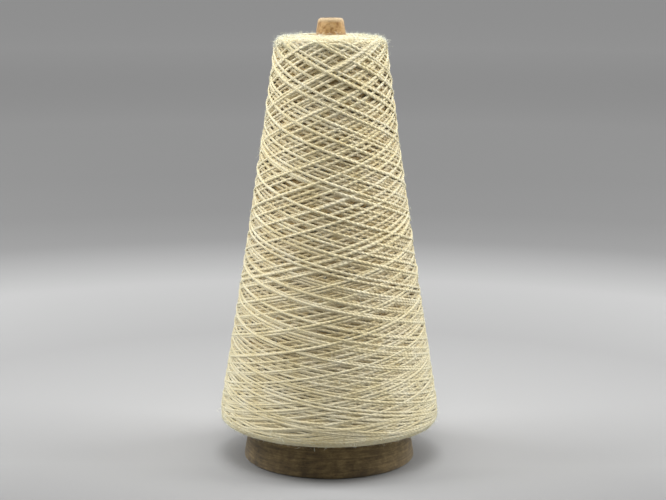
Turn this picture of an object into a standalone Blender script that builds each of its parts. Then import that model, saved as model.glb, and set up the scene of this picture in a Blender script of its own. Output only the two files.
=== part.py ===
"""A cone of yarn: plied yarn cross-wound on a tapered paper cone.

Lengths are in metres, with +Z up. The origin is the centre of the paper cone's foot, on the
surface that it stands on. The paper cone is an open, thin-walled turned shell. The yarn is one
solid: its wound form, with the main turns of both hands raised where they cross each other.
"""

import math

import bmesh
import bpy
import numpy as np

COLLECTION = "cone_of_yarn"

# The paper cone tapers by about 9 and a half degrees a side, over 229 mm from a foot 90 mm across.
CONE_LENGTH = 0.229
CONE_TAPER = math.radians(9.55)
CONE_FOOT_RADIUS = 0.0450
CONE_WALL = 0.0020
CONE_SIDES = 72
FOOT_CHAMFER = 0.0004
NOSE_ROUND_STEPS = 6

# The wound yarn: where its winding surface meets the planes of its two ends.
YARN_FOOT_HEIGHT = 0.0200
YARN_FOOT_RADIUS = 0.0582
YARN_NOSE_HEIGHT = 0.2199
YARN_NOSE_RADIUS = 0.0280
SHOULDER_RADIUS = 0.0035
SHOULDER_STEPS = 3
END_FACE_DEPTH = 0.023
SEAT_GAP = 0.0003

# The main turns of each hand. A traverse goes round the cone two and a half times, and its turns
# open out towards the nose, where the lead is 1.8 times the lead at the foot.
MAIN_TURNS = 8
TURNS_PER_TRAVERSE = 2.5
LEAD_GROWTH = 1.8
TURN_RELIEF = 0.0014
CROSSING_LIFT = 0.0005

# Grid lines across one turn, as shares of the spacing: crest, edge, middle of the hollow, edge.
TURN_KNOTS = (0.0, 0.15, 0.5, 0.85)

# Uneven spacing of the turns, as waves: how many go round the cone, size in turns, phase.
TURN_DRIFT = ((2, 0.15, 2.1), (3, 0.20, 0.4))

# Half the angle of the winding surface, and its length along the slope without its shoulders.
YARN_TAPER = math.atan2(YARN_FOOT_RADIUS - YARN_NOSE_RADIUS, YARN_NOSE_HEIGHT - YARN_FOOT_HEIGHT)
YARN_SLANT = math.hypot(YARN_FOOT_RADIUS - YARN_NOSE_RADIUS, YARN_NOSE_HEIGHT - YARN_FOOT_HEIGHT)
TRAVERSE = YARN_SLANT - 2 * SHOULDER_RADIUS

# How far each end face leans out from square to the winding surface. The foot's face is square
# to it. The nose's face is a low dome that rises by 6 degrees towards the paper cone.
FOOT_FACE_LEAN = 0.0
NOSE_FACE_LEAN = YARN_TAPER + math.radians(6.0)

KRAFT_COLOR = (0.40, 0.29, 0.17, 1.0)
YARN_COLOR = (0.68, 0.61, 0.44, 1.0)
PAPER_ROUGHNESS = 0.80
YARN_ROUGHNESS = 0.95


def clear_scene():
    """Remove every object that the new scene starts with."""
    for obj in list(bpy.data.objects):
        bpy.data.objects.remove(obj, do_unlink=True)


def new_collection(name):
    """Make a collection and link it to the scene."""
    collection = bpy.data.collections.new(name)
    bpy.context.scene.collection.children.link(collection)
    return collection


def new_material(name, color, roughness):
    """Make a plain Principled BSDF material."""
    material = bpy.data.materials.new(name)
    material.use_nodes = True
    shader = material.node_tree.nodes["Principled BSDF"]
    shader.inputs["Base Color"].default_value = color
    shader.inputs["Roughness"].default_value = roughness
    shader.inputs["Metallic"].default_value = 0.0
    return material


def new_object(name, mesh, collection, material=None):
    """Put a mesh in the scene as a named object."""
    obj = bpy.data.objects.new(name, mesh)
    collection.objects.link(obj)
    if material:
        mesh.materials.append(material)
    return obj


def cone_radius(height):
    """Outer radius of the paper cone at a height above its foot."""
    return CONE_FOOT_RADIUS - height * math.tan(CONE_TAPER)


def paper_profile():
    """Half-section of the paper cone: over the round nose, down the outside, up the inside."""
    half_wall = CONE_WALL / 2
    wall_across = CONE_WALL / math.cos(CONE_TAPER)
    nose_height = CONE_LENGTH - half_wall
    nose_middle = cone_radius(nose_height) - wall_across / 2
    points = []
    for step in range(NOSE_ROUND_STEPS + 1):
        angle = CONE_TAPER + math.pi * (1 - step / NOSE_ROUND_STEPS)
        radius = nose_middle + half_wall * math.cos(angle)
        points.append((radius, nose_height + half_wall * math.sin(angle)))
    outer_foot = CONE_FOOT_RADIUS
    inner_foot = CONE_FOOT_RADIUS - wall_across
    points.append((cone_radius(FOOT_CHAMFER), FOOT_CHAMFER))
    points.append((outer_foot - FOOT_CHAMFER, 0.0))
    points.append((inner_foot + FOOT_CHAMFER, 0.0))
    points.append((cone_radius(FOOT_CHAMFER) - wall_across, FOOT_CHAMFER))
    return points


def build_paper_cone(collection):
    """Turn the paper cone from its half-section."""
    points = paper_profile()
    mesh = bpy.data.meshes.new("paper_cone")
    corners = [(radius, 0.0, height) for radius, height in points]
    edges = [(i, (i + 1) % len(points)) for i in range(len(points))]
    mesh.from_pydata(corners, edges, [])
    material = new_material("kraft_paper", KRAFT_COLOR, PAPER_ROUGHNESS)
    cone = new_object("paper_cone", mesh, collection, material)
    screw = cone.modifiers.new("turn", "SCREW")
    screw.axis = "Z"
    screw.steps = CONE_SIDES
    screw.render_steps = CONE_SIDES
    screw.use_merge_vertices = True
    screw.merge_threshold = 0.0001
    screw.use_smooth_shade = True
    return cone


def build_bore_cutter(collection):
    """The paper cone's outside, grown by the seat gap, which cuts the yarn's bore."""
    overrun = 0.01
    low, high = -overrun, CONE_LENGTH + overrun
    bm = bmesh.new()
    bmesh.ops.create_cone(
        bm,
        cap_ends=True,
        segments=CONE_SIDES,
        radius1=cone_radius(low) + SEAT_GAP,
        radius2=cone_radius(high) + SEAT_GAP,
        depth=high - low,
    )
    bmesh.ops.translate(bm, verts=bm.verts, vec=(0.0, 0.0, (low + high) / 2))
    mesh = bpy.data.meshes.new("bore_cutter")
    bm.to_mesh(mesh)
    bm.free()
    cutter = new_object("bore_cutter", mesh, collection)
    cutter.hide_render = True
    cutter.display_type = "WIRE"
    return cutter


def lattice_knot(index):
    """Turn number at a grid line: each turn has its crest, its two edges and the hollow beside it."""
    turn, knot = divmod(index, len(TURN_KNOTS))
    return turn + TURN_KNOTS[knot]


def is_crest(number):
    """Whether a turn number lies on the crest of a turn."""
    return abs(number - round(number)) < 1e-4


def drift(number):
    """How far a turn strays from even spacing, in turns; it repeats once round the cone."""
    waves = (
        size * math.sin(2 * math.pi * count * number / MAIN_TURNS + phase)
        for count, size, phase in TURN_DRIFT
    )
    return sum(waves)


def crossing_lattice():
    """Grid with the turns of one hand along X and of the other along Y, cut to one wrap of the yarn.

    The cuts run diagonally through the crossings: two along the seam, two along the ends.
    """
    ends = round(2 * MAIN_TURNS * TURNS_PER_TRAVERSE)
    first = -(ends // 2)
    span = MAIN_TURNS - first
    lines = span * len(TURN_KNOTS)
    bm = bmesh.new()
    bmesh.ops.create_grid(bm, x_segments=lines, y_segments=lines, size=lines / 2)
    for vert in bm.verts:
        column = round(vert.co.x + lines / 2)
        row = round(vert.co.y + lines / 2)
        vert.co = (first + lattice_knot(column), lattice_knot(row), 0.0)
    seam_and_ends = (
        ((0.0, 0.0, 0.0), (-1.0, -1.0, 0.0)),
        ((MAIN_TURNS, MAIN_TURNS, 0.0), (1.0, 1.0, 0.0)),
        ((0.0, 0.0, 0.0), (1.0, -1.0, 0.0)),
        ((0.0, ends, 0.0), (-1.0, 1.0, 0.0)),
    )
    for point, outward in seam_and_ends:
        bmesh.ops.bisect_plane(
            bm,
            geom=bm.verts[:] + bm.edges[:] + bm.faces[:],
            dist=1e-4,
            plane_co=point,
            plane_no=outward,
            clear_outer=True,
        )
    return bm


def way_up(turns):
    """Distance up the slope after a number of turns round the cone."""
    return TRAVERSE * (LEAD_GROWTH ** (turns / TURNS_PER_TRAVERSE) - 1) / (LEAD_GROWTH - 1)


def unroll_lattice(bm):
    """Lay the lattice out flat: X is the angle round, Y the way up the slope, Z the relief."""
    for vert in bm.verts:
        right, left = vert.co.x, vert.co.y
        crests = is_crest(right) + is_crest(left)
        relief = (-TURN_RELIEF, 0.0, CROSSING_LIFT)[crests]
        right += drift(right)
        left += drift(left)
        turns_up = (left - right) / (2 * MAIN_TURNS)
        vert.co = (math.pi * (right + left) / MAIN_TURNS, way_up(turns_up), relief)


def end_edges(bm, height):
    """Edges of the flat layout that lie along one end."""
    tolerance = 1e-5
    return [
        edge
        for edge in bm.edges
        if edge.is_boundary and all(abs(vert.co.y - height) < tolerance for vert in edge.verts)
    ]


def add_end(bm, height, outward, lean):
    """Round one end of the flat layout over its shoulder, then carry its end face inwards."""
    bmesh.ops.subdivide_edges(bm, edges=end_edges(bm, height), cuts=1)
    edges = end_edges(bm, height)

    # Each row: how far past the end, how deep, and the share of the relief that is left.
    rows = []
    for step in range(1, SHOULDER_STEPS + 1):
        share = step / SHOULDER_STEPS
        angle = (math.pi / 2 - lean) * share
        along = SHOULDER_RADIUS * math.sin(angle)
        depth = SHOULDER_RADIUS * (math.cos(angle) - 1)
        rows.append((along, depth, math.cos(math.pi / 2 * share)))
    inner_along = along + END_FACE_DEPTH * math.sin(lean)
    inner_depth = depth - END_FACE_DEPTH * math.cos(lean)
    rows.append((inner_along, inner_depth, 0.0))
    start = {vert: vert.co.z for edge in edges for vert in edge.verts}
    for along, depth, relief_left in rows:
        grown = bmesh.ops.extrude_edge_only(bm, edges=edges)["geom"]
        moved = {}
        edges = [item for item in grown if isinstance(item, bmesh.types.BMEdge)]
        for vert in (item for item in grown if isinstance(item, bmesh.types.BMVert)):
            nearest = min(start, key=lambda other: abs(other.co.x - vert.co.x))
            moved[vert] = start[nearest]
        for vert, relief in moved.items():
            vert.co.y = height + outward * along
            vert.co.z = depth + relief * relief_left
        start = moved


def roll_up(bm):
    """Roll the flat layout round the cone."""
    low_radius = YARN_FOOT_RADIUS - SHOULDER_RADIUS * math.sin(YARN_TAPER)
    low_height = YARN_FOOT_HEIGHT + SHOULDER_RADIUS * math.cos(YARN_TAPER)
    flat = np.array([vert.co[:] for vert in bm.verts])
    angle, along, depth = flat.T
    radius = low_radius - along * math.sin(YARN_TAPER) + depth * math.cos(YARN_TAPER)
    height = low_height + along * math.cos(YARN_TAPER) + depth * math.sin(YARN_TAPER)
    rolled = np.column_stack((radius * np.cos(angle), radius * np.sin(angle), height))
    for vert, place in zip(bm.verts, rolled):
        vert.co = place


def build_yarn_package(collection, cutter):
    """The wound yarn: one solid with its main turns raised, bored to sit on the paper cone."""
    bm = crossing_lattice()
    unroll_lattice(bm)
    add_end(bm, 0.0, -1.0, FOOT_FACE_LEAN)
    add_end(bm, TRAVERSE, 1.0, NOSE_FACE_LEAN)
    roll_up(bm)
    bmesh.ops.remove_doubles(bm, verts=bm.verts, dist=1e-5)
    open_edges = [edge for edge in bm.edges if edge.is_boundary]
    bmesh.ops.holes_fill(bm, edges=open_edges, sides=0)
    bmesh.ops.triangulate(bm, faces=bm.faces)
    bmesh.ops.recalc_face_normals(bm, faces=bm.faces)
    mesh = bpy.data.meshes.new("yarn_package")
    bm.to_mesh(mesh)
    bm.free()
    mesh.shade_smooth()
    mesh.set_sharp_from_angle(angle=math.radians(80))
    material = new_material("plied_yarn", YARN_COLOR, YARN_ROUGHNESS)
    package = new_object("yarn_package", mesh, collection, material)
    bore = package.modifiers.new("bore", "BOOLEAN")
    bore.operation = "DIFFERENCE"
    bore.solver = "EXACT"
    bore.object = cutter
    return package


def main():
    """Build the paper cone and the yarn wound on it."""
    clear_scene()
    parts = new_collection(COLLECTION)
    cutters = new_collection("cutters")
    build_paper_cone(parts)
    build_yarn_package(parts, build_bore_cutter(cutters))


main()
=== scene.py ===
"""A cone of yarn, dressed for its render.

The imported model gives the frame: a paper cone standing on its foot, and the yarn wound on it as one
solid. This script keeps both in place and gives them their looks. The yarn is wound again turn by
turn: each traverse is laid as a taut strand over the turns beneath it, so the strands cross, bridge
the gaps and turn round at the two ends as they do on a real package.
"""

import logging
import math
from dataclasses import dataclass, field
from enum import Enum

import bpy
import numpy as np
from mathutils import Matrix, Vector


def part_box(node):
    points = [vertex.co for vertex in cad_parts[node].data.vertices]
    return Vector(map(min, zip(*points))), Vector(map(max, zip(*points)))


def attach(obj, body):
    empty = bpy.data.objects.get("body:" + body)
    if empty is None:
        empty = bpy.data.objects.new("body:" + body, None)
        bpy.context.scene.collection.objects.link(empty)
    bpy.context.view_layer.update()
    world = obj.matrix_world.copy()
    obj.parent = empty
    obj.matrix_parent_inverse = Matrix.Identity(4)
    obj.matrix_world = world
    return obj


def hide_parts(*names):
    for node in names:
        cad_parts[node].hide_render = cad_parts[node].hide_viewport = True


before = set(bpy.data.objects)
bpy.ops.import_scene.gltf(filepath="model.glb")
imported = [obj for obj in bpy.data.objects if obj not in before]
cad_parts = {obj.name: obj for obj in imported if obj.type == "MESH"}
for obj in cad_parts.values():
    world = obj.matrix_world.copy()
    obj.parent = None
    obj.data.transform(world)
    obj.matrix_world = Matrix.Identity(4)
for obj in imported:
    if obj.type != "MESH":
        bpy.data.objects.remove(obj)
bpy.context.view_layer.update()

LOG = logging.getLogger("cone_of_yarn")
MM = 0.001
FULL_TURN = 2.0 * math.pi
CONE_TAPER = math.radians(9.55)
BODY = "root"
SEED = 20

Array = np.ndarray
LaidPath = tuple[Array, Array, Array]


class Hand(Enum):
    """Which way a traverse climbs as it goes round, seen from outside."""

    RIGHT = 1
    LEFT = -1


# Colours and nodes


def linear(hex_color: str) -> tuple[float, float, float, float]:
    """Turn an sRGB hex colour to linear light.

    Args:
        hex_color: Six hex digits, such as "C8B88F".

    Returns:
        Red, green, blue and an alpha of one.
    """
    channels = [int(hex_color[i : i + 2], 16) / 255.0 for i in (0, 2, 4)]
    lin = [c / 12.92 if c <= 0.04045 else ((c + 0.055) / 1.055) ** 2.4 for c in channels]
    return (lin[0], lin[1], lin[2], 1.0)


@dataclass
class NodeSheet:
    """A material's node tree, filled one node at a time."""

    name: str
    material: bpy.types.Material = field(init=False)

    def __post_init__(self) -> None:
        """Make the material and empty its tree."""
        self.material = bpy.data.materials.new(self.name)
        self.material.use_nodes = True
        self.material.node_tree.nodes.clear()

    def add(self, kind: str, settings: dict | None = None, **inputs: object) -> bpy.types.Node:
        """Add one node.

        Args:
            kind: The node's type without its ShaderNode prefix, such as "TexNoise".
            settings: Properties to set first; "stops" are a ramp's positions and hex colours.
            **inputs: Values, source sockets, or source nodes, whose first live output is taken.
                Each is named for its socket, with _ for a space; iN is the socket at index N.

        Returns:
            The new node.
        """
        tree = self.material.node_tree
        node = tree.nodes.new("ShaderNode" + kind)
        settings = dict(settings or {})
        stops = settings.pop("stops", ())
        for key, value in settings.items():
            setattr(node, key, value)
        for _ in stops[2:]:
            node.color_ramp.elements.new(0.5)
        for i, (position, color) in enumerate(stops):
            node.color_ramp.elements[i].position = position
            node.color_ramp.elements[i].color = linear(color)
        for key, value in inputs.items():
            by_index = key[0] == "i" and key[1:].isdigit()
            socket = node.inputs[int(key[1:]) if by_index else key.replace("_", " ")]
            if isinstance(value, bpy.types.Node):
                value = next(output for output in value.outputs if output.enabled)
            if isinstance(value, bpy.types.NodeSocket):
                tree.links.new(value, socket)
            else:
                socket.default_value = value
        return node

    def finish(self, shader: bpy.types.Node) -> bpy.types.Material:
        """Link the shader to the output and hand the material over."""
        self.add("OutputMaterial", Surface=shader)
        return self.material


# Finishes


@dataclass(frozen=True)
class PliedYarn:
    """Undyed plied yarn, softly spun and slightly fuzzy.

    Two plies are twisted together, which gives each strand a fine rope-like groove. The natural
    fibre is cream with paler and browner flecks, quite matt, and scatters a little light.
    """

    name: str = "undyed plied yarn"
    pale: str = "F1E9CE"
    middle: str = "E8DBB2"
    dark: str = "D0BE89"
    fleck: str = "B08F58"
    painted_gap_shade: str = "8E6B2A"
    bloom: str = "E8EEDE"
    slub_size: float = 10.526 * MM
    fleck_size: float = 1.7857 * MM
    twist_depth: float = 0.12 * MM
    fibre_depth: float = 0.08 * MM
    soak: float = 0.6 * MM
    pressed_height: float = 0.04
    free_height: float = 0.13

    def build(self) -> bpy.types.Material:
        """Make the material; its strand map runs one unit a twist along, one unit round.

        Returns:
            The material.
        """
        sheet = NodeSheet(self.name)
        strand = sheet.add("UVMap", {"uv_map": "strand"})
        split = sheet.add("SeparateXYZ", Vector=strand).outputs
        place = sheet.add("TexCoord").outputs["Object"]
        tone, depth = (
            sheet.add("Attribute", {"attribute_name": name}).outputs["Fac"]
            for name in ("tone", "depth")
        )

        # The two plies: one wave of twice the angle round, turning once a twist.
        turned = sheet.add("Math", {"operation": "SUBTRACT"}, i0=split["Y"], i1=split["X"])
        angle = sheet.add("Math", {"operation": "MULTIPLY"}, i0=turned, i1=2 * FULL_TURN)
        plies = sheet.add("Math", {"operation": "COSINE"}, i0=angle)

        # Fibres lie along the strand, so their noise is drawn out that way. Its grain is 0.8 mm by
        # 0.4 mm: a real fibre is too fine to show, so this is as coarse as it needs to be.
        stretch = sheet.add("Mapping", Vector=strand, Scale=(2.2, 3.6, 1.0))
        fibre = sheet.add("TexNoise", Vector=stretch, Scale=3.0, Detail=3.0, Roughness=0.65)
        slub = sheet.add("TexNoise", Vector=place, Scale=1.0 / self.slub_size, Detail=2.0, Roughness=0.6)
        flecks = sheet.add("TexNoise", Vector=place, Scale=1.0 / self.fleck_size, Detail=1.0)
        toned: object = 0.03
        for source, weight in ((slub, 0.5), (fibre, 0.45), (tone, 0.1)):
            toned = sheet.add("Math", {"operation": "MULTIPLY_ADD"}, i0=source, i1=weight, i2=toned)
        stops = ((0.30, self.dark), (0.52, self.middle), (0.78, self.pale))
        coat = sheet.add("ValToRGB", {"stops": stops}, Fac=toned)

        # Flecks first. Then turns deep in the lay are painted darker and warmer, a painted shade in the
        # gaps between the turns: the depth is in millimetres.
        # The second mask paints shade into the colour of the deep turns.
        for source, low, high, most, color in (
            (flecks, 0.67, 0.78, 0.45, self.fleck),
            (depth, 1.05, 2.4, 0.85, self.painted_gap_shade),
        ):
            mask = sheet.add("MapRange", Value=source, From_Min=low, From_Max=high, To_Max=most)
            coat = sheet.add("Mix", {"data_type": "RGBA"}, i0=mask, i6=coat, i7=linear(color))

        # Towards the foot the turns are pressed flatter, so their relief is weaker, and there the colour
        # is darkened as a painted shade.
        height = sheet.add("SeparateXYZ", Vector=place).outputs["Z"]
        rise = {"From_Min": self.pressed_height, "From_Max": self.free_height}
        painted_foot_shade, relief = (
            sheet.add("MapRange", Value=height, To_Min=low, To_Max=high, **rise)
            for low, high in ((0.82, 1.02), (0.5, 0.9))
        )
        # Painted shade: the yarn's colour is darker towards the foot.
        foot_shaded_coat = sheet.add("HueSaturation", Value=painted_foot_shade, Color=coat)
        twist = sheet.add("Bump", Height=plies, Distance=self.twist_depth, Strength=relief)
        fuzz = sheet.add("Bump", Height=fibre, Distance=self.fibre_depth, Strength=relief, Normal=twist)
        shader = sheet.add(
            "BsdfPrincipled",
            Base_Color=foot_shaded_coat,
            Roughness=0.92,
            Normal=fuzz,
            IOR=1.5,
            Specular_IOR_Level=0.15,
            Sheen_Weight=0.75,
            Sheen_Roughness=0.45,
            Sheen_Tint=linear(self.bloom),
            Subsurface_Weight=0.07,
            Subsurface_Radius=(1.0, 0.85, 0.55),
            Subsurface_Scale=self.soak,
        )
        return sheet.finish(shader)


@dataclass(frozen=True)
class LooseFibre:
    """Stray fibre ends of the spun yarn: pale and dull, with a soft sheen against the light."""

    name: str = "loose yarn fibre"
    pale: str = "F0F4E6"
    dark: str = "D8D8BE"
    tone_size: float = 3.8462 * MM

    def build(self) -> bpy.types.Material:
        """Make the material, its tone changing from fibre to fibre.

        Returns:
            The material.
        """
        sheet = NodeSheet(self.name)
        place = sheet.add("TexCoord").outputs["Object"]
        tone = sheet.add("TexNoise", Vector=place, Scale=1.0 / self.tone_size, Detail=1.0)
        coat = sheet.add("ValToRGB", {"stops": ((0.35, self.dark), (0.6, self.pale))}, Fac=tone)
        dull = {"Roughness": 0.85, "Specular_IOR_Level": 0.1, "Sheen_Weight": 0.3}
        return sheet.finish(sheet.add("BsdfPrincipled", Base_Color=coat, **dull))


@dataclass(frozen=True)
class KraftBoard:
    """Unbleached kraft board, rolled to a cone and glued.

    The pressed brown fibre shows as fine mottling and short flecks. The foot is painted darker and greyer,
    partly the board's own duller tone and partly painted shade under the yarn's overhang, with the faint
    level streaks of the rolled board, and the nose's rim is painted paler as a painted highlight.
    """

    name: str = "kraft board"
    shades: tuple[str, str, str] = ("7E5E38", "AE8B5A", "D2B386")
    shaded_foot_colours: tuple[str, str, str] = ("4E412D", "6C5B3C", "8E7952")
    rim_highlight: str = "C6B08C"
    fleck: str = "70481E"
    mottle_size: float = 5.5556 * MM
    fibre_size: float = 1.4286 * MM
    cloud_size: float = 26.316 * MM
    fleck_size: float = 2.2222 * MM
    nose_height: float = 0.229
    rim_highlight_depth: float = 2.0 * MM
    foot_height: float = 30.0 * MM

    def build(self) -> bpy.types.Material:
        """Make the material on the cone's own coordinates.

        Returns:
            The material.
        """
        sheet = NodeSheet(self.name)
        place = sheet.add("TexCoord").outputs["Object"]
        height = sheet.add("SeparateXYZ", Vector=place).outputs["Z"]
        # The fibre's grain is a third as high as it is wide, and the streaks are 14 mm by 1 mm.
        drawn = sheet.add("Mapping", Vector=place, Scale=(1.0, 1.0, 3.5))
        level = sheet.add("Mapping", Vector=place, Scale=(6.0, 6.0, 90.0))
        mottle, fibre, cloud, flecks, streak = (
            sheet.add("TexNoise", Vector=at, Scale=scale, Detail=detail, Roughness=rough)
            for at, scale, detail, rough in (
                (place, 1.0 / self.mottle_size, 5.0, 0.65),
                (drawn, 1.0 / self.fibre_size, 3.0, 0.7),
                (place, 1.0 / self.cloud_size, 2.0, 0.5),
                (place, 1.0 / self.fleck_size, 2.0, 0.6),
                (level, 12.0, 3.0, 0.6),
            )
        )
        toned: object = 0.0
        for source, weight in ((mottle, 0.5), (fibre, 0.3), (cloud, 0.2)):
            toned = sheet.add("Math", {"operation": "MULTIPLY_ADD"}, i0=source, i1=weight, i2=toned)
        streaked = sheet.add("Math", {"operation": "MULTIPLY_ADD"}, i0=streak, i1=0.5, i2=-0.25)
        footed = sheet.add("Math", {"operation": "ADD"}, i0=toned, i1=streaked)
        coat, shaded_foot_coat = (
            sheet.add("ValToRGB", {"stops": tuple(zip((0.36, 0.50, 0.66), shades))}, Fac=tone)
            for tone, shades in ((toned, self.shades), (footed, self.shaded_foot_colours))
        )

        # Over the board come its flecks, the painted shade of the foot and the painted highlight on the
        # nose's rim, each by its own mask.
        foot, rim = self.foot_height, self.nose_height
        for source, start, end, low, high, over in (
            (flecks, 0.5, 0.64, 0.0, 0.6, linear(self.fleck)),
            # Painted shade: the board below the yarn's overhang is darkened, along with its own duller
            # tone.
            (height, foot, foot + 20.0 * MM, 1.0, 0.0, shaded_foot_coat),
            # Painted highlight along the rounded top of the nose's rim.
            (height, rim - self.rim_highlight_depth, rim - 0.2 * MM, 0.0, 0.85, linear(self.rim_highlight)),
        ):
            span = {"From_Min": start, "From_Max": end, "To_Min": low, "To_Max": high}
            mask = sheet.add("MapRange", Value=source, **span)
            coat = sheet.add("Mix", {"data_type": "RGBA"}, i0=mask, i6=coat, i7=over)
        bump = sheet.add("Bump", Height=toned, Distance=0.15 * MM, Strength=0.7)
        shader = sheet.add(
            "BsdfPrincipled",
            Base_Color=coat,
            Roughness=0.78,
            Normal=bump,
            IOR=1.45,
            Specular_IOR_Level=0.3,
            Sheen_Weight=0.25,
            Sheen_Roughness=0.5,
        )
        return sheet.finish(shader)


@dataclass(frozen=True)
class StudioSweep:
    """Matt paper floor, flat, with painted light and shade: a dark painted contact shadow at the object's
    foot, a paler painted pool round it, painted shade in front, and greyer farther back and paler again
    far off as a painted falloff of light.

    Each stop is a distance from the middle of the object's foot, in metres, and the grey there.
    """

    name: str = "matt studio sweep"
    reach: float = 4.0
    # Painted contact shadow in the first stops, and painted light and its falloff farther out.
    stops: tuple[tuple[float, str], ...] = (
        (0.0, "707070"), (0.044, "868686"), (0.052, "9D9D9D"), (0.062, "A4A4A4"), (0.085, "A8A8A8"),
        (0.15, "A3A3A3"), (0.3, "9B9B9B"), (0.48, "AAAAAA"), (0.58, "9C9C9C"), (0.68, "8B8B8B"),
        (0.85, "898989"), (1.15, "939393"), (1.8, "AEAEAE"), (3.4, "C6C6C6"), (4.0, "CCCCCC"),
    )
    front_shade: float = 0.76

    def build(self) -> bpy.types.Material:
        """Make the material, its painted shade set by the distance from the object's foot and darker in
        front.

        Returns:
            The material.
        """
        sheet = NodeSheet(self.name)
        place = sheet.add("TexCoord").outputs["Object"]
        flat = sheet.add("VectorMath", {"operation": "MULTIPLY"}, i0=place, i1=(1.0, 1.0, 0.0))
        distance = sheet.add("VectorMath", {"operation": "LENGTH"}, i0=flat)
        spread = sheet.add("MapRange", Value=distance, From_Max=self.reach)
        stops = tuple((far / self.reach, grey) for far, grey in self.stops)
        coat = sheet.add("ValToRGB", {"stops": stops}, Fac=spread)
        # Painted shade: the floor just in front of the object is darker.
        y = sheet.add("SeparateXYZ", Vector=place).outputs["Y"]
        front = sheet.add("MapRange", Value=y, From_Min=-0.08, From_Max=-0.02, To_Min=self.front_shade)
        shaded = sheet.add("VectorMath", {"operation": "SCALE"}, Vector=coat, Scale=front)
        matt = {"Roughness": 0.9, "Specular_IOR_Level": 0.1}
        return sheet.finish(sheet.add("BsdfPrincipled", Base_Color=shaded, **matt))


# Meshes and objects


def quad_grid(rows: int, columns: int, closed: bool = False) -> Array:
    """Faces of a grid of points that closes round along each row.

    Args:
        rows: Rows of points.
        columns: Points in a row.
        closed: True where the last row joins the first.

    Returns:
        The corners of each face, n x 4: two along its own row, then back along the next.
    """
    row, column = np.meshgrid(np.arange(rows if closed else rows - 1), np.arange(columns), indexing="ij")
    after = (column + 1) % columns
    near, far = row * columns, (row + 1) % rows * columns
    return np.stack((near + column, near + after, far + after, far + column), axis=-1).reshape(-1, 4)


def unit(vectors: Array) -> Array:
    """Vectors of length one with the same directions."""
    return vectors / np.linalg.norm(vectors, axis=-1, keepdims=True)


def new_mesh(name: str, points: Array, faces: list[list[int]]) -> bpy.types.Mesh:
    """Make a smooth mesh.

    Args:
        name: The mesh's name.
        points: Its points, in any shape that ends in three.
        faces: Its faces, as indices of points.

    Returns:
        The mesh.
    """
    mesh = bpy.data.meshes.new(name)
    mesh.from_pydata(points.reshape(-1, 3).tolist(), [], faces)
    mesh.shade_smooth()
    return mesh


def turned_mesh(name: str, profile: Array, sides: int) -> bpy.types.Mesh:
    """Turn a closed half-section round the upright axis.

    Point = (radius * sin(a), -radius * cos(a), height), with the angle a going once round.

    Args:
        name: The mesh's name.
        profile: Radius and height of its points, anticlockwise with radius to the right.
        sides: Steps round.

    Returns:
        The mesh, with a strand map that is the whole square on every face.
    """
    angle = np.arange(sides)[:, None] * FULL_TURN / sides
    radius, height = profile[:, 0], profile[:, 1] * np.ones((sides, 1))
    points = np.stack((radius * np.sin(angle), -radius * np.cos(angle), height), axis=-1)
    # Its rows go round the axis, so the corners run the other way to face outward.
    corners = quad_grid(sides, len(profile), closed=True)[:, [0, 3, 2, 1]]
    mesh = new_mesh(name, points, corners.tolist())
    mesh.uv_layers.new(name="strand")
    return mesh


@dataclass
class Strand:
    """One laid strand: its centre line, the surface normals there, and its section."""

    centre: Array
    normal: Array
    half_width: Array
    half_height: Array
    depth: Array
    tone: float
    map_start: float


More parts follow.
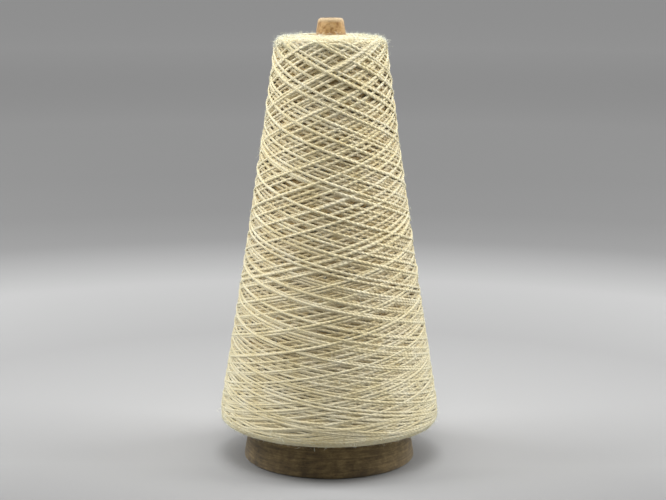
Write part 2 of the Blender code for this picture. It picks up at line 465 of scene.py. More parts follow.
@dataclass
class MeshParts:
    """Points, faces and maps of a piece, gathered strand by strand; pitch is one twist's length."""

    pitch: float = 5.2 * MM
    points: list[Array] = field(default_factory=list)
    quads: list[Array] = field(default_factory=list)
    caps: list[list[int]] = field(default_factory=list)
    quad_maps: list[Array] = field(default_factory=list)
    tones: list[Array] = field(default_factory=list)
    depths: list[Array] = field(default_factory=list)
    count: int = 0

    @property
    def triangles(self) -> int:
        """Triangles gathered so far."""
        return 2 * sum(len(quads) for quads in self.quads) + sum(len(cap) - 2 for cap in self.caps)

    def tube(self, strand: Strand, sides: int) -> None:
        """Add a closed tube of oval section round a strand's centre line.

        Ring point = centre + across * half width * cos(a) + up * half height * sin(a), with the
        angle a going once round.

        Args:
            strand: The strand to clothe.
            sides: Points round the section.
        """
        centre, rows = strand.centre, len(strand.centre)
        along = unit(np.gradient(centre, axis=0))
        across = unit(np.cross(strand.normal, along))
        up = np.cross(along, across)
        angle = np.arange(sides) * FULL_TURN / sides
        wide = strand.half_width[:, None, None] * np.cos(angle)[None, :, None]
        high = strand.half_height[:, None, None] * np.sin(angle)[None, :, None]
        rings = centre[:, None, :] + across[:, None, :] * wide + up[:, None, :] * high

        corners = quad_grid(rows, sides)
        step = np.linalg.norm(np.diff(centre, axis=0), axis=1)
        length = np.concatenate(([0.0], np.cumsum(step))) / self.pitch + strand.map_start
        around = (corners[:, :1] % sides + [0, 1, 1, 0]) / sides
        self.quad_maps.append(np.stack((length[corners // sides], around), axis=-1).reshape(-1, 2))
        self.quads.append(corners + self.count)
        self.points.append(rings.reshape(-1, 3))
        self.tones.append(np.full(rows * sides, strand.tone))
        self.depths.append(np.repeat(strand.depth / MM, sides))
        first = self.count + np.arange(sides)
        self.caps.append(first[::-1].tolist())
        self.caps.append((first + (rows - 1) * sides).tolist())
        self.count += rows * sides

    def mesh(self, name: str) -> bpy.types.Mesh:
        """Make the mesh.

        Args:
            name: The mesh's name.

        Returns:
            The mesh, with its strand map, tones and depths.
        """
        faces = np.concatenate(self.quads).tolist() + self.caps
        mesh = new_mesh(name, np.concatenate(self.points), faces)
        layer = mesh.uv_layers.new(name="strand")
        cap_corners = sum(len(cap) for cap in self.caps)
        maps = np.concatenate([*self.quad_maps, np.zeros((cap_corners, 2))])
        layer.uv.foreach_set("vector", maps.astype(np.float32).ravel())
        for key, values in (("tone", self.tones), ("depth", self.depths)):
            layer = mesh.attributes.new(key, "FLOAT", "POINT")
            layer.data.foreach_set("value", np.concatenate(values).astype(np.float32))
        return mesh


def link(name: str, data: bpy.types.ID) -> bpy.types.Object:
    """Put a mesh, a light or a camera in the scene.

    Args:
        name: The object's name.
        data: What it shows.

    Returns:
        The object, at the origin.
    """
    thing = bpy.data.objects.new(name, data)
    bpy.context.scene.collection.objects.link(thing)
    return thing


def add_piece(mesh: bpy.types.Mesh, material: bpy.types.Material, node: str) -> None:
    """Put a finished mesh in the scene as a piece that stands for a node.

    Args:
        mesh: Its mesh, already in place, which gives it its name.
        material: Its finish.
        node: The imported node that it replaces.
    """
    mesh.materials.append(material)
    piece = link(mesh.name, mesh)
    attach(piece, BODY)
    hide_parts(node)
    mesh.calc_loop_triangles()
    LOG.info("%s: %d triangles", mesh.name, len(mesh.loop_triangles))


# The wound yarn


@dataclass(frozen=True)
class WoundForm:
    """The surface that the yarn is wound to: a tapered side, two round shoulders, two end faces.

    A place on it is an angle round the cone and a distance q along its section. From q = 0 to
    q = side the section climbs the taper; below and above, it rounds a shoulder and then runs in
    over the end face. The foot's face is square to the side, the nose's a low dome.
    """

    foot_height: float = 0.0200
    foot_radius: float = 0.0582
    nose_height: float = 0.2203
    nose_radius: float = 0.0280
    shoulder: float = 3.5 * MM
    foot_face: float = 12.9 * MM
    nose_face: float = 16.7 * MM
    dome: float = math.radians(1.2)
    slump: float = 1.1 * MM
    slump_reach: float = 5.5 * MM

    @property
    def taper(self) -> float:
        """Half the angle of the tapered side."""
        return math.atan2(self.foot_radius - self.nose_radius, self.nose_height - self.foot_height)

    @property
    def side(self) -> float:
        """Length of the tapered side between its shoulders."""
        drop = self.foot_radius - self.nose_radius
        return math.hypot(drop, self.nose_height - self.foot_height) - 2 * self.shoulder

    @property
    def foot_arc(self) -> float:
        """Length of the section round the shoulder at the foot."""
        return self.shoulder * math.pi / 2

    @property
    def nose_arc(self) -> float:
        """Length of the section round the shoulder at the nose."""
        return self.shoulder * (math.pi / 2 - self.taper - self.dome)

    def climb(self, height: float) -> float:
        """Distance q at a height above the floor."""
        return (height - self.foot_height) / math.cos(self.taper) - self.shoulder

    def section(self, q: Array, height: Array | float) -> tuple[Array, Array, Array]:
        """Place points of the section.

        On the side the normal leans up by the taper, and on the dome it is short of upright by
        the dome's slope. Round a shoulder it turns evenly from one to the other. The shoulder at
        the foot has slumped rounder: the surface is lower there by slump * exp(-(x / reach)^2),
        with x the distance from the middle of its arc.

        Args:
            q: Distances along the section.
            height: Heights above the surface.

        Returns:
            Radius, height above the floor, and the normal's angle above the horizontal.
        """
        taper = self.taper
        past_foot = np.clip(-q, 0.0, self.foot_arc)
        past_nose = np.clip(q - self.side, 0.0, self.nose_arc)
        foot_run = np.clip(-q - self.foot_arc, 0.0, None)
        nose_run = np.clip(q - self.side - self.nose_arc, 0.0, None)
        lean = taper + (past_nose - past_foot) / self.shoulder
        climb = np.clip(q, 0.0, self.side) + self.shoulder
        base_r = self.foot_radius - climb * math.sin(taper) - self.shoulder * math.cos(taper)
        base_z = self.foot_height + climb * math.cos(taper) - self.shoulder * math.sin(taper)
        corner = (q + 0.5 * self.foot_arc) / self.slump_reach
        out = self.shoulder + height - self.slump * np.exp(-(corner**2))
        radius = base_r + out * np.cos(lean)
        radius = radius - foot_run * math.cos(taper) - nose_run * math.cos(self.dome)
        z = base_z + out * np.sin(lean)
        z = z - foot_run * math.sin(taper) + nose_run * math.sin(self.dome)
        return radius, z, lean

    def place(self, angle: Array, q: Array, height: Array) -> tuple[Array, Array]:
        """Turn angles, distances and heights to points in space.

        Args:
            angle: Angles round the cone; zero faces -Y and the angle grows towards +X.
            q: Distances along the section.
            height: Heights above the surface.

        Returns:
            Points and outward normals, each n x 3.
        """
        radius, z, lean = self.section(q, height)
        out = np.stack((np.sin(angle), -np.cos(angle)), axis=-1)
        points = np.concatenate((out * radius[..., None], z[..., None]), axis=-1)
        normals = np.concatenate((out * np.cos(lean)[..., None], np.sin(lean)[..., None]), axis=-1)
        return points, normals


@dataclass(frozen=True)
class Lay:
    """How a traverse is laid: the turns it makes and how they open out towards the nose.

    Turns up to q = turns * ln(1 + q / side * (growth - 1)) / ln(growth), so that the lead grows
    evenly from the foot to the nose. Far below the foot the logarithm is held, to stay finite.
    """

    side: float
    turns: float = 2.55
    growth: float = 1.8

    def turn_at(self, q: Array | float) -> Array | float:
        """Turns made from the foot to a distance up the side."""
        share = np.maximum(q / self.side * (self.growth - 1.0), -0.5)
        return self.turns * np.log1p(share) / math.log(self.growth)


@dataclass
class Relief:
    """Height of the wound yarn over the surface, on a grid of angles by distances q."""

    form: WoundForm
    columns: int = 900
    pitch: float = 0.4 * MM
    blur_round: float = math.radians(6.5)
    blur_climb: float = 3.6 * MM
    heights: Array = field(init=False)
    low: float = field(init=False)

    def __post_init__(self) -> None:
        """Start from the bare surface."""
        form = self.form
        self.low = -form.foot_arc - form.foot_face
        high = form.side + form.nose_arc + form.nose_face
        self.heights = np.zeros((self.columns, int((high - self.low) / self.pitch) + 2))

    def cells(self, angle: Array, q: Array) -> tuple[Array, Array]:
        """Find the grid cells of places on the surface.

        Args:
            angle: Angles round the cone.
            q: Distances along the section.

        Returns:
            Column and row of each.
        """
        column = np.round(angle / FULL_TURN * self.columns).astype(int) % self.columns
        row = np.round((q - self.low) / self.pitch).astype(int)
        return column, np.clip(row, 0, self.heights.shape[1] - 1)

    def level(self) -> Array:
        """Work out a smooth height that the strands' tops keep to.

        The mean section is taken off first. What is left is blurred by a Gaussian, round and
        along the section. The sum is raised by the 97th percentile of the roughness left on it.

        Returns:
            The level, on the same grid.
        """
        columns, rows = self.heights.shape
        kernel = np.hanning(9)[1:-1]
        mean = np.pad(self.heights.mean(axis=0), 3, mode="edge")
        mean = np.convolve(mean, kernel / kernel.sum(), "valid")
        rest = self.heights - mean
        padded = np.concatenate((rest[:, ::-1], rest, rest[:, ::-1]), axis=1)
        across = np.fft.fftfreq(columns)[:, None] * (self.blur_round / FULL_TURN * columns)
        along = np.fft.rfftfreq(3 * rows)[None, :] * (self.blur_climb / self.pitch)
        blur = np.exp(-2.0 * math.pi**2 * (across**2 + along**2))
        smooth = np.fft.irfft2(np.fft.rfft2(padded) * blur, s=padded.shape)[:, rows : 2 * rows]
        smooth = smooth + mean
        return smooth + np.percentile(self.heights - smooth, 97)


@dataclass
class Winder:
    """Lays strands one after another, each taut over those beneath it."""

    form: WoundForm
    relief: Relief
    half_width: float = 0.74 * MM
    half_height: float = 0.57 * MM
    sink: float = 0.49 * MM
    step: float = 1.0 * MM
    samples: int = 7
    cover: float = 0.12 * MM
    foot_width: float = 0.88
    foot_flat: float = 0.76
    squeeze_rate: float = 2.2

    def squeeze(self, q: Array, least: float) -> Array:
        """Share of its full size that a strand keeps, from least at the foot to one at mid height."""
        return least + (1.0 - least) * np.clip(self.squeeze_rate * q / self.form.side, 0.0, 1.0)

    def even_steps(self, angle: Array, q: Array) -> tuple[Array, Array]:
        """Walk a path again in even steps.

        Args:
            angle: Angles along the path.
            q: Distances along the section.

        Returns:
            Angles and distances at the steps.
        """
        radius, _, _ = self.form.section(q, 0.0)
        run = np.hypot(np.diff(angle) * (radius[1:] + radius[:-1]) / 2, np.diff(q))
        length = np.concatenate(([0.0], np.cumsum(run)))
        even = np.linspace(0.0, length[-1], max(int(length[-1] / self.step), 4))
        return np.interp(even, length, angle), np.interp(even, length, q)

    def footprint(self, angle: Array, q: Array) -> tuple[tuple[Array, Array], Array]:
        """Find what lies across the strand's width, at each step of its path.

        The samples stop just short of its edges, where the section has no height.

        Args:
            angle: Angles along the path.
            q: Distances along the section.

        Returns:
            The relief's cells there and the section's height in each, all n x samples.
        """
        radius, _, _ = self.form.section(q, 0.0)
        turn_x = np.gradient(angle) * radius
        turn_y = np.gradient(q)
        size = np.hypot(turn_x, turn_y) + 1e-12
        share = np.linspace(-0.96, 0.96, self.samples)
        reach = share * self.half_width * self.squeeze(q, self.foot_width)[:, None]
        across_angle = angle[:, None] - (turn_y / size / radius)[:, None] * reach
        across_q = q[:, None] + (turn_x / size)[:, None] * reach
        arch = self.half_height * self.squeeze(q, self.foot_flat)[:, None] * np.sqrt(1.0 - share**2)
        return self.relief.cells(across_angle, across_q), arch

    @staticmethod
    def taut(length: Array, support: Array, bend: Array) -> Array:
        """Pull a string tight over its supports on a curved surface.

        Between two supports it runs straight, so its height over the surface follows the
        surface's bend. With the twice-summed bend taken off, the string is the upper hull.

        Args:
            length: Length along the path.
            support: Least height of the strand's centre.
            bend: Curvature of the surface along the path.

        Returns:
            Heights of the taut string.
        """
        step = np.diff(length, prepend=length[0])
        arch = np.cumsum(np.cumsum(bend * step) * step)
        arch -= np.interp(length, length[[0, -1]], arch[[0, -1]])
        level = support - arch
        hull: list[int] = []
        for i in range(len(level)):
            while len(hull) > 1:
                a, b = hull[-2], hull[-1]
                rise = (level[b] - level[a]) * (length[i] - length[a])
                if rise > (level[i] - level[a]) * (length[b] - length[a]):
                    break
                hull.pop()
            hull.append(i)
        return np.interp(length, length[hull], level[hull]) + arch

    def lay(self, angle: Array, q: Array) -> LaidPath:
        """Lay one strand and raise the relief under it.

        Args:
            angle: Angles along the path.
            q: Distances along the section.

        Returns:
            Angles, distances and centre heights at even steps.
        """
        angle, q = self.even_steps(angle, q)
        cells, arch = self.footprint(angle, q)
        support = (self.relief.heights[cells] + arch).max(axis=1) - self.sink
        radius, _, lean = self.form.section(q, 0.0)
        turning = np.abs(np.gradient(angle) * radius)
        run = np.hypot(turning, np.gradient(q))
        bend = (turning / run) ** 2 * np.maximum(np.cos(lean), 0.0) / radius
        height = self.taut(np.cumsum(run), support, bend)
        weights = np.array([1, 2, 3, 2, 1]) / 9
        height = np.convolve(np.pad(height, 2, mode="edge"), weights, "valid")
        # The relief is raised in steps a little finer than its grid, so that no cell is missed.
        at = np.arange(len(q))
        dense = np.arange(0, len(q) - 1, self.relief.pitch * 0.8 / self.step)
        dense_angle, dense_q, dense_height = (np.interp(dense, at, v) for v in (angle, q, height))
        cells, arch = self.footprint(dense_angle, dense_q)
        np.maximum.at(self.relief.heights, cells, dense_height[:, None] + arch)
        return angle, q, height

    def bare(self, path: LaidPath) -> Array:
        """Tell which steps of a laid path still show, with some of their width under no later turn.

        Args:
            path: Angles, distances and heights.

        Returns:
            One for a step that shows, zero for one that is buried.
        """
        angle, q, height = path
        cells, arch = self.footprint(angle, q)
        return (self.relief.heights[cells] - height[:, None] - arch < self.cover).any(axis=1).astype(float)


@dataclass(frozen=True)
class LastTurns:
    """The last traverses laid, the ones that stand out on the face of the package.

    Each is given by a height above the floor, in millimetres, at which it crosses the front.
    """

    right: tuple[int, ...] = (92, 37, 62, 100, 45, 82, 67, 41, 56, 71)
    left: tuple[int, ...] = (100, 51, 80, 57, 72, 30, 63, 46, 88, 75, 105, 41)


@dataclass
class YarnPackage:
    """The yarn on the cone: its inner body, its turns, its end faces and its loose fibres.

    Band steps are shares of a turn. A settle is the share of the relief's depth that is left, and
    a press or a rise is the share taken off it, or off the inner body's depth, at the nose's face.
    """

    node: str = "yarn_package"
    slot: str = "plied_yarn"
    form: WoundForm = WoundForm()
    last: LastTurns = LastTurns()
    loose_traverses: int = 70
    banded_traverses: int = 260
    band_step: float = 0.034
    band_jump: float = 0.050
    fine_traverses: int = 60
    face_rings: int = 64
    rim_rings: int = 56
    foot_settle: float = 0.13
    nose_settle: float = 0.76
    settled_share: float = 0.42
    eased: float = 36.0 * MM
    face_press: float = 0.6
    proud: float = 0.55 * MM
    proud_blend: float = 0.15 * MM
    deepest: float = 2.6 * MM
    packing: float = 0.45
    tuck: float = 1.3 * MM
    tuck_reach: float = 5.0 * MM
    body_depth: float = 2.9 * MM
    body_rise: float = 0.38
    bore_gap: float = 0.3 * MM
    fine_step: float = 2.0 * MM
    coarse_step: float = 3.0 * MM
    budget: int = 190_000
    laid: list[LaidPath] = field(default_factory=list)
    rng: np.random.Generator = field(init=False)
    relief: Relief = field(init=False)
    winder: Winder = field(init=False)
    law: Lay = field(init=False)
    level: Array = field(init=False)

    def __post_init__(self) -> None:
        """Set up the bare surface, the winder and the law of its turns."""
        self.rng = np.random.default_rng(SEED)
        self.relief = Relief(self.form)
        self.winder = Winder(self.form, self.relief)
        self.law = Lay(self.form.side)

    def traverse_path(self, hand: Hand, front: float, stretch: float) -> tuple[Array, Array]:
        """Path of one traverse, from rim to rim.

        The angle grows with the turns made. Near each rim the distance up the side eases to the
        rim, and the strand runs on along it, as the guide slows down and comes back:
        eased = (x + sqrt(x^2 + 4 hook^2)) / 2, with x the distance that the lay alone would give.

        Args:
            hand: Which way it climbs.
            front: Share of a turn by which it is turned round the cone.
            stretch: How much longer its leads are than the law's.

        Returns:
            Angles and distances.
        """
        rng = self.rng
        foot_edge = rng.uniform(-3.0, 1.2) * MM
        nose_edge = self.form.side + rng.uniform(1.2, 5.6) * MM
        foot_tail, nose_tail = rng.uniform(4.0, 11.0) * MM, rng.uniform(3.0, 7.0) * MM
        foot_hook, nose_hook = rng.uniform(1.2, 2.6) * MM, rng.uniform(0.8, 1.6) * MM
        x = np.linspace(foot_edge - foot_tail, nose_edge + nose_tail, 1200)
        turn = self.law.turn_at(x) / stretch
        turn = turn + rng.uniform(0.002, 0.007) * np.sin(x / (31 * MM) + rng.uniform(0, FULL_TURN))
        low = x - foot_edge
        q = foot_edge + (low + np.sqrt(low**2 + 4 * foot_hook**2)) / 2
        high = nose_edge - q
        q = nose_edge - (high + np.sqrt(high**2 + 4 * nose_hook**2)) / 2
        return FULL_TURN * (front + hand.value * turn), q

    def lay_ring(self, q: float, wander: float) -> None:
        """Lay one turn-round near an end face: just over a full ring that wanders in and out.

        Args:
            q: Its distance along the section.
            wander: How far it strays.
        """
        start = self.rng.uniform(0.0, FULL_TURN)
        angle = start + np.linspace(0.0, FULL_TURN * 1.04, 500)
        phases = self.rng.uniform(0.0, FULL_TURN, 3)
        wave = np.sin(angle / 2 + phases[0]) + 0.5 * np.sin(2 * angle + phases[1])
        wave += 0.3 * np.sin(5 * angle + phases[2])
        inmost = self.form.side + self.form.nose_arc + self.form.nose_face - 0.3 * MM
        path = np.clip(q + wander * wave, self.relief.low + 1.2 * MM, inmost)
        self.laid.append(self.winder.lay(angle, path))

    def plan(self) -> list[tuple[Hand, float, float]]:
        """Order the traverses: first loose ones, then bands side by side, then the last.

        The two hands' leads differ a little. A band moves on by a seventh of a turn at a time,
        and after every seven it shifts, so that the next lies beside it.

        Returns:
            Hand, share of a turn and stretch of each.
        """
        rng = self.rng
        mean = {Hand.RIGHT: 1.05, Hand.LEFT: 0.98}
        order: list[tuple[Hand, float, float]] = []
        for _ in range(self.loose_traverses // 2):
            for hand in Hand:
                order.append((hand, rng.uniform(), mean[hand] * (1.0 + rng.normal(0.0, 0.04))))
        starts = {hand: rng.uniform() for hand in Hand}
        drift = shift = 0.0
        for k in range(self.banded_traverses // 2):
            drift = 0.97 * drift + rng.normal(0.0, 0.004)
            if k % 7 == 0:
                shift += self.band_jump if k % 21 == 0 else self.band_step
            for hand in Hand:
                share = starts[hand] + k / 7.0 + shift + rng.normal(0.0, 0.0035)
                order.append((hand, share, mean[hand] * (1.0 + drift + rng.normal(0.0, 0.003))))
        for i in range(max(len(self.last.right), len(self.last.left))):
            for hand, heights in ((Hand.RIGHT, self.last.right), (Hand.LEFT, self.last.left)):
                if i < len(heights):
                    stretch = mean[hand] * (1.0 + rng.normal(0.0, 0.015))
                    turn = self.law.turn_at(self.form.climb(heights[i] * MM)) / stretch
                    order.append((hand, -hand.value * turn, stretch))
        return order

    def wind(self) -> None:
        """Lay the rings of the end faces, then all the traverses, with rings on the rims between."""
        form = self.form
        for share in self.rng.permutation(self.face_rings) / self.face_rings:
            self.lay_ring(-form.foot_arc * 0.7 - share * (form.foot_face + 1.0 * MM), 1.1 * MM)
            nose = form.side + form.nose_arc * 0.7 + share * (form.nose_face + 1.2 * MM)
            self.lay_ring(nose, 1.9 * MM)
        order = self.plan()
        every = len(order) // self.rim_rings
        for i, (hand, front, stretch) in enumerate(order):
            self.laid.append(self.winder.lay(*self.traverse_path(hand, front, stretch)))
            if i % every == 0:
                foot = self.rng.uniform(-form.foot_arc, 11.0 * MM)
                nose = form.side + self.rng.uniform(1.5 * MM, form.nose_arc + 5.0 * MM)
                self.lay_ring(foot, 2.2 * MM)
                if i % (2 * every) == 0:
                    self.lay_ring(nose, 0.8 * MM)

    def nearness(self, q: Array) -> Array:
        """How near distances q are to the nose's face: 0 well below it, 1 on it."""
        reach = self.eased + self.form.nose_arc
        return np.clip((q - self.form.side + self.eased) / reach, 0.0, 1.0)

    def settle(self, q: Array) -> Array:
        """Work out how much of the relief's depth is left once the package has settled.

        Args:
            q: Distances along the section.

        Returns:
            The share that is left there.
        """
        share = np.clip(q / (self.form.side * self.settled_share), 0.0, 1.0)
        left = self.foot_settle + (self.nose_settle - self.foot_settle) * share
        return left * (1.0 - self.face_press * self.nearness(q))

    def settled(self, path: LaidPath) -> Array:
        """Settle a laid path under the package's tension.

        The relief is pressed flatter towards the foot, where the turns lie closer. What stands
        proud of the level is pressed down to near one limit, and a deep hollow is filled from
        beneath: depth = deepest * (1 - exp(-pressed depth / deepest)).

        Args:
            path: Angles, distances and heights.

        Returns:
            Heights above the surface.
        """
        angle, q, height = path
        pressed = (height - self.level[self.relief.cells(angle, q)]) * self.settle(q)
        filled = self.deepest * np.expm1(np.minimum(pressed, 0.0) / self.deepest)
        pressed = np.maximum(pressed, 0.0) + filled
        blend = self.proud_blend
        return self.proud - blend * np.logaddexp(0.0, (self.proud - pressed) / blend)

    def strands(self, path: LaidPath, step: float) -> list[Strand]:
        """Place a laid path in space, leaving out the runs that lie deep under the others.

        Its two ends are tucked in under the turns beside them.

        Args:
            path: Angles, distances and heights.
            step: Length of a step of the mesh.

        Returns:
            One strand for each run that may be seen.
        """
        rng, winder = self.rng, self.winder
        angle, q, _ = path
        settled = self.settled(path)
        count = max(int(len(q) * winder.step / step), 8)
        pick = np.linspace(0, len(q) - 1, count)
        at = np.arange(len(q))
        bare = np.convolve(winder.bare(path), np.ones(5), "same")
        angle, q, settled, bare = (np.interp(pick, at, v) for v in (angle, q, settled, bare))
        ends = np.minimum(np.arange(count), np.arange(count)[::-1]) * step
        settled = settled - self.tuck * np.clip(1.0 - ends / self.tuck_reach, 0.0, 1.0) ** 2
        seen = np.convolve(bare > 0.4, np.ones(3), "same") > 0
        edges = np.flatnonzero(np.diff(np.concatenate(([0], seen.astype(int), [0]))))
        centre, normal = self.form.place(angle, q, settled)
        swell = 1.0 + 0.07 * np.sin(np.cumsum(rng.normal(0.0, 0.7, count)))
        size = rng.normal(1.0, 0.05)
        tone, start = float(rng.uniform()), float(rng.uniform(0.0, 20.0))
        runs = []
        for first, last in zip(edges[::2], edges[1::2]):
            if last - first < 4:
                continue
            run = slice(first, last)
            thick = size * swell[run]
            wide = winder.half_width * thick * winder.squeeze(q[run], winder.foot_width)
            high = winder.half_height * thick * winder.squeeze(q[run], winder.foot_flat)
            # The depth sets the yarn's painted gap shade; it is scaled up where the turns are pressed
            # flatter, so the painted shade keeps its strength there.
            packed = (self.nose_settle / self.settle(q[run])) ** self.packing
            depth = np.maximum(-settled[run], 0.0) * packed
            runs.append(Strand(centre[run], normal[run], wide, high, depth, tone, start))
        return runs

    def inner_body(self) -> bpy.types.Mesh:
        """Make the wound yarn under the modelled turns: a turned solid with a bore for the cone.

        It lies less deep below the strands' tops where they are pressed flat.

        Returns:
            The mesh.
        """
        form = self.form
        low = -form.foot_arc - form.foot_face - 1.0 * MM
        high = form.side + form.nose_arc + form.nose_face
        q = np.linspace(low, high, 60)
        share = np.sqrt(self.settle(q) / self.nose_settle) * (1.0 - self.body_rise * self.nearness(q))
        radius, z, _ = form.section(q, -self.body_depth * share)
        outer = np.column_stack((radius, z))
        _, cone_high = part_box("paper_cone")
        bore_z = np.linspace(outer[-1, 1], outer[0, 1], 8)
        bore_r = cone_high[0] - bore_z * math.tan(CONE_TAPER) + self.bore_gap
        profile = np.concatenate((outer, np.column_stack((bore_r, bore_z))))
        return turned_mesh("yarn_inner_body", profile, 90)

    def add_turns(self, finish: bpy.types.Material) -> None:
        """Add the pieces of the laid turns: the end faces, then a new one whenever one is full.

        Args:
            finish: Their material.
        """
        rings = 2 * self.face_rings
        fine_from = len(self.laid) - self.fine_traverses
        parts, pieces = MeshParts(), 0
        for i, path in enumerate(self.laid):
            step, sides = (self.fine_step, 8) if i >= fine_from else (self.coarse_step, 6)
            for strand in self.strands(path, step):
                parts.tube(strand, sides)
            if i + 1 in (rings, len(self.laid)) or parts.triangles > self.budget:
                pieces += 1
                name = "yarn_end_turns" if i < rings else f"yarn_turns_{pieces}"
                add_piece(parts.mesh(name), finish, self.node)
                parts = MeshParts()

    def build(self) -> None:
        """Wind the yarn and make its pieces."""
        self.wind()
        self.level = self.relief.level()
        finish = PliedYarn().build()
        add_piece(self.inner_body(), finish, self.node)
        self.add_turns(finish)
        fibre = LooseFibre().build()
        for name, on_rims, count, joints, *sizes in (
            ("yarn_short_fuzz", False, 40_000, 1, 1.4, 0.30, 0.042),
            ("yarn_rim_fuzz", True, 26_000, 1, 1.9, 0.55, 0.042),
            ("yarn_stray_fibres", False, 1_600, 3, 3.0, 0.70, 0.065),
            ("yarn_rim_strays", True, 1_500, 3, 2.8, 0.90, 0.065),
        ):
            fibres = LooseFibres(self, on_rims, count, joints, *(size * MM for size in sizes))
            add_piece(fibres.mesh(name), fibre, self.node)


@dataclass
class LooseFibres:
    """Fine fibre ends that stand off the yarn and soften its outline.

    A real fibre is a few hundredths of a millimetre thick, too fine to show, so each is drawn a
    little coarser.
    """

    package: YarnPackage
    on_rims: bool
    count: int
    rings: int
    length: float
    lift: float
    width: float

    def roots(self) -> tuple[Array, Array]:
        """Scatter the fibres' roots: all over the side, or on the nose's dome and both rims.

        Returns:
            Their angles round the cone and distances along its section.
        """
        form, rng = self.package.form, self.package.rng
        q = rng.uniform(0.0, 1.0, self.count) ** 1.1 * form.side
        if self.on_rims:
            nose = form.side + rng.uniform(-2.0, form.nose_arc / MM + 14.0, self.count) * MM
            foot = -rng.uniform(-2.0, form.foot_arc / MM + 1.0, self.count) * MM
            q = np.where(rng.uniform(size=self.count) < 0.75, nose, foot)
        return rng.uniform(0.0, FULL_TURN, self.count), q

    def centres(self) -> tuple[Array, Array]:
        """Work out the fibres' centre lines.

        Each runs from its root along the surface and lifts off it:
        point = root + t * length * along + lift * (1 - (1 - t)^2) * out + curl * t^2 * across.

        Returns:
            Points of every fibre from root to tip, and the way out of the surface at its root.
        """
        package, rng, n = self.package, self.package.rng, self.count
        angle, q = self.roots()
        top = package.relief.heights[package.relief.cells(angle, q)]
        height = package.settled((angle, q, top))
        root, out = package.form.place(angle, q, height - 0.15 * MM)
        round_way = np.stack((np.cos(angle), np.sin(angle), np.zeros(n)), axis=-1)
        climb_way = np.cross(out, round_way)
        heading = rng.uniform(0.0, FULL_TURN, n)[:, None]
        along = round_way * np.cos(heading) + climb_way * np.sin(heading)
        across = np.cross(out, along)
        length = self.length * rng.uniform(0.4, 1.6, (n, 1, 1))
        lift = self.lift * np.minimum(rng.exponential(1.0, (n, 1, 1)), 3.5) + 0.1 * MM
        curl = self.length * rng.normal(0.0, 0.3, (n, 1, 1))
        t = np.linspace(0.0, 1.0, self.rings + 1)[None, :, None]
        line = root[:, None] + along[:, None] * length * t
        line = line + out[:, None] * lift * (1.0 - (1.0 - t) ** 2) + across[:, None] * curl * t**2
        return line, out

    def mesh(self, name: str) -> bpy.types.Mesh:
        """Make the fibres: closed three-sided hairs that end in a point.

        Ring point = centre + width * (1 - 0.5 t) * (side * cos(a) + up * sin(a)).

        Args:
            name: The mesh's name.

        Returns:
            One mesh of all the hairs.
        """
        n, rings = self.count, self.rings
        line, out = self.centres()
        direction = unit(np.gradient(line, axis=1)[:, :-1])
        side = unit(np.cross(direction, out[:, None] + 0.01))
        up = np.cross(side, direction)
        turn = (np.arange(3) * FULL_TURN / 3)[:, None]
        size = self.width * (1.0 - 0.5 * np.arange(rings) / rings)[None, :, None, None]
        ring = side[:, :, None] * np.cos(turn) + up[:, :, None] * np.sin(turn)
        ringed = (line[:, :-1, None] + ring * size).reshape(n, -1, 3)
        points = np.concatenate((ringed, line[:, -1:]), axis=1)

        spoke = np.arange(3)
        after = (spoke + 1) % 3
        first = (np.arange(n) * (3 * rings + 1))[:, None, None]
        row = 3 * np.arange(rings - 1)[:, None]
        walls = np.stack((row + 3 + spoke, row + 3 + after, row + after, row + spoke), axis=-1)
        tip = 3 * rings - 3
        tips = np.stack((np.full(3, tip + 3), tip + after, tip + spoke), axis=-1)
        faces = (first + walls.reshape(1, -1, 4)).reshape(-1, 4).tolist()
        faces += (first + tips).reshape(-1, 3).tolist()
        faces += (first[:, 0] + spoke).tolist()
        return new_mesh(name, points, faces)


# The paper cone


@dataclass
class PaperCone:
    """The tapered board cone that the yarn is wound on, open at both ends."""

    node: str = "paper_cone"
    slot: str = "kraft_paper"
    wall: float = 2.0 * MM
    crown: float = 2.8 * MM
    crown_share: float = 0.62
    proud: float = 0.4 * MM
    roll: float = 1.2 * MM
    sole_step: float = 0.3 * MM
    sides: int = 120

    def profile(self) -> Array:
        """Half-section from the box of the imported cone: outside, round nose, inside, rolled foot.

        Returns:
            Radius and height of its points, n x 2.
        """
        _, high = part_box(self.node)
        foot, top = high[0], high[2] + self.proud
        slope = math.tan(CONE_TAPER)
        across = self.wall / math.cos(CONE_TAPER)
        heights = np.linspace(self.roll, top - self.crown, 36)
        outer = np.column_stack((foot - heights * slope, heights))
        inner = np.column_stack((foot - heights * slope - across, heights))[::-1]
        turn = np.linspace(0.0, math.pi / 2, 9)[1:]
        ridge = foot - top * slope - self.crown_share * across
        edge, lip = outer[-1], inner[0]
        outside = (ridge + (edge[0] - ridge) * np.cos(turn), edge[1] + self.crown * np.sin(turn))
        inside = (ridge - (ridge - lip[0]) * np.sin(turn), lip[1] + self.crown * np.cos(turn))
        nose = np.concatenate((np.column_stack(outside), np.column_stack(inside)[:-1]))
        turn = np.linspace(math.pi / 2, 0.0, 6)[:-1]
        rolled = (outer[0, 0] - self.roll * (1.0 - np.cos(turn)), self.roll * (1.0 - np.sin(turn)))
        sole = np.array([(foot - across + self.sole_step, 0.0)])
        return np.concatenate((outer, nose, inner, sole, np.column_stack(rolled)))

    def build(self) -> None:
        """Turn the cone and dress it."""
        mesh = turned_mesh("paper_cone_board", self.profile(), self.sides)
        add_piece(mesh, KraftBoard().build(), self.node)


# The studio


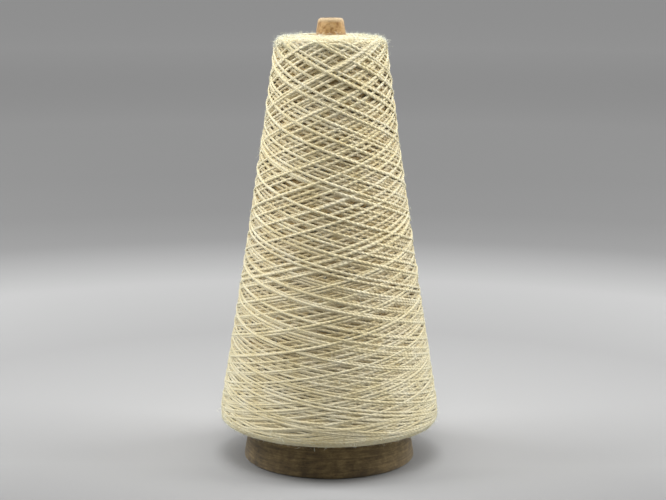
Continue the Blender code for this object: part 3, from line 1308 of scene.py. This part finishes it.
@dataclass
class Studio:
    """Pale floor, soft lights high and low at both sides, one in front, a ceiling, and the camera."""

    camera_place: tuple[float, float, float] = (0.0016, -0.8495, 0.2599)
    camera_pitch: float = math.radians(10.02)
    camera_roll: float = math.radians(0.25)
    lens: float = 89.7
    sensor: float = 36.0
    floor_size: float = 30.0
    aim_height: float = 0.11
    ceiling_power: float = 0.8
    ceiling_spread: float = math.radians(55.0)
    world_strength: float = 0.20

    def floor(self) -> None:
        """Lay the sweep under the object."""
        corners = np.array([(-1, -1, 0), (1, -1, 0), (1, 1, 0), (-1, 1, 0)]) * self.floor_size / 2
        mesh = new_mesh("floor", corners, [[0, 1, 2, 3]])
        mesh.materials.append(StudioSweep().build())
        floor = link("floor", mesh)

    def soft_light(self, name: str, place: tuple[float, float, float], size: float, power: float) -> None:
        """Hang a square soft light that faces the middle of the object.

        Args:
            name: The light's name.
            place: Where it hangs.
            size: Length of its side.
            power: Its power in watts.
        """
        data = bpy.data.lights.new(name, "AREA")
        data.shape = "SQUARE"
        data.size = size
        data.energy = power
        light = link(name, data)
        x, y, z = place
        light.location = place
        tilt = math.atan2(math.hypot(x, y), z - self.aim_height)
        light.rotation_euler = (tilt, 0.0, math.atan2(-x, y) + math.pi)
        light.visible_camera = False

    def ceiling(self) -> None:
        """Light the scene evenly from straight above, as a wide white ceiling does."""
        data = bpy.data.lights.new("ceiling", "SUN")
        data.energy = self.ceiling_power
        data.angle = self.ceiling_spread
        link("ceiling", data).location = (0.0, 0.0, 2.0)

    def world(self) -> None:
        """Fill the surroundings with even, faint white."""
        world = bpy.data.worlds.new("studio")
        world.use_nodes = True
        shade = world.node_tree.nodes["Background"]
        shade.inputs["Color"].default_value = linear("FFFFFF")
        shade.inputs["Strength"].default_value = self.world_strength
        bpy.context.scene.world = world

    def camera(self) -> None:
        """Set the camera at the photograph's viewpoint."""
        data = bpy.data.cameras.new("camera")
        data.sensor_width = self.sensor
        data.lens = self.lens
        camera = link("camera", data)
        tilt = Matrix.Rotation(math.pi / 2 - self.camera_pitch, 4, "X")
        roll = Matrix.Rotation(self.camera_roll, 4, "Z")
        camera.matrix_world = Matrix.Translation(self.camera_place) @ tilt @ roll
        bpy.context.scene.camera = camera

    def build(self) -> None:
        """Set everything up."""
        self.floor()
        self.world()
        for side, name in ((-1.0, "left"), (1.0, "right")):
            self.soft_light(f"{name}_box", (side * 1.05, 0.05, 1.1), 0.8, 17.0)
            self.soft_light(f"{name}_low_box", (side * 1.10, -0.20, 0.32), 0.6, 1.6)
        self.soft_light("front_box", (0.0, -0.62, 1.4), 0.5, 7.0)
        self.ceiling()
        self.camera()
        view = bpy.context.scene.view_settings
        view.view_transform = "Standard"
        view.look = "None"


def main() -> None:
    """Build the studio, the paper cone and the yarn, and note the sizes."""
    logging.basicConfig(level=logging.INFO, format="%(message)s")
    Studio().build()
    PaperCone().build()
    YarnPackage().build()


if __name__ == "__main__":
    main()
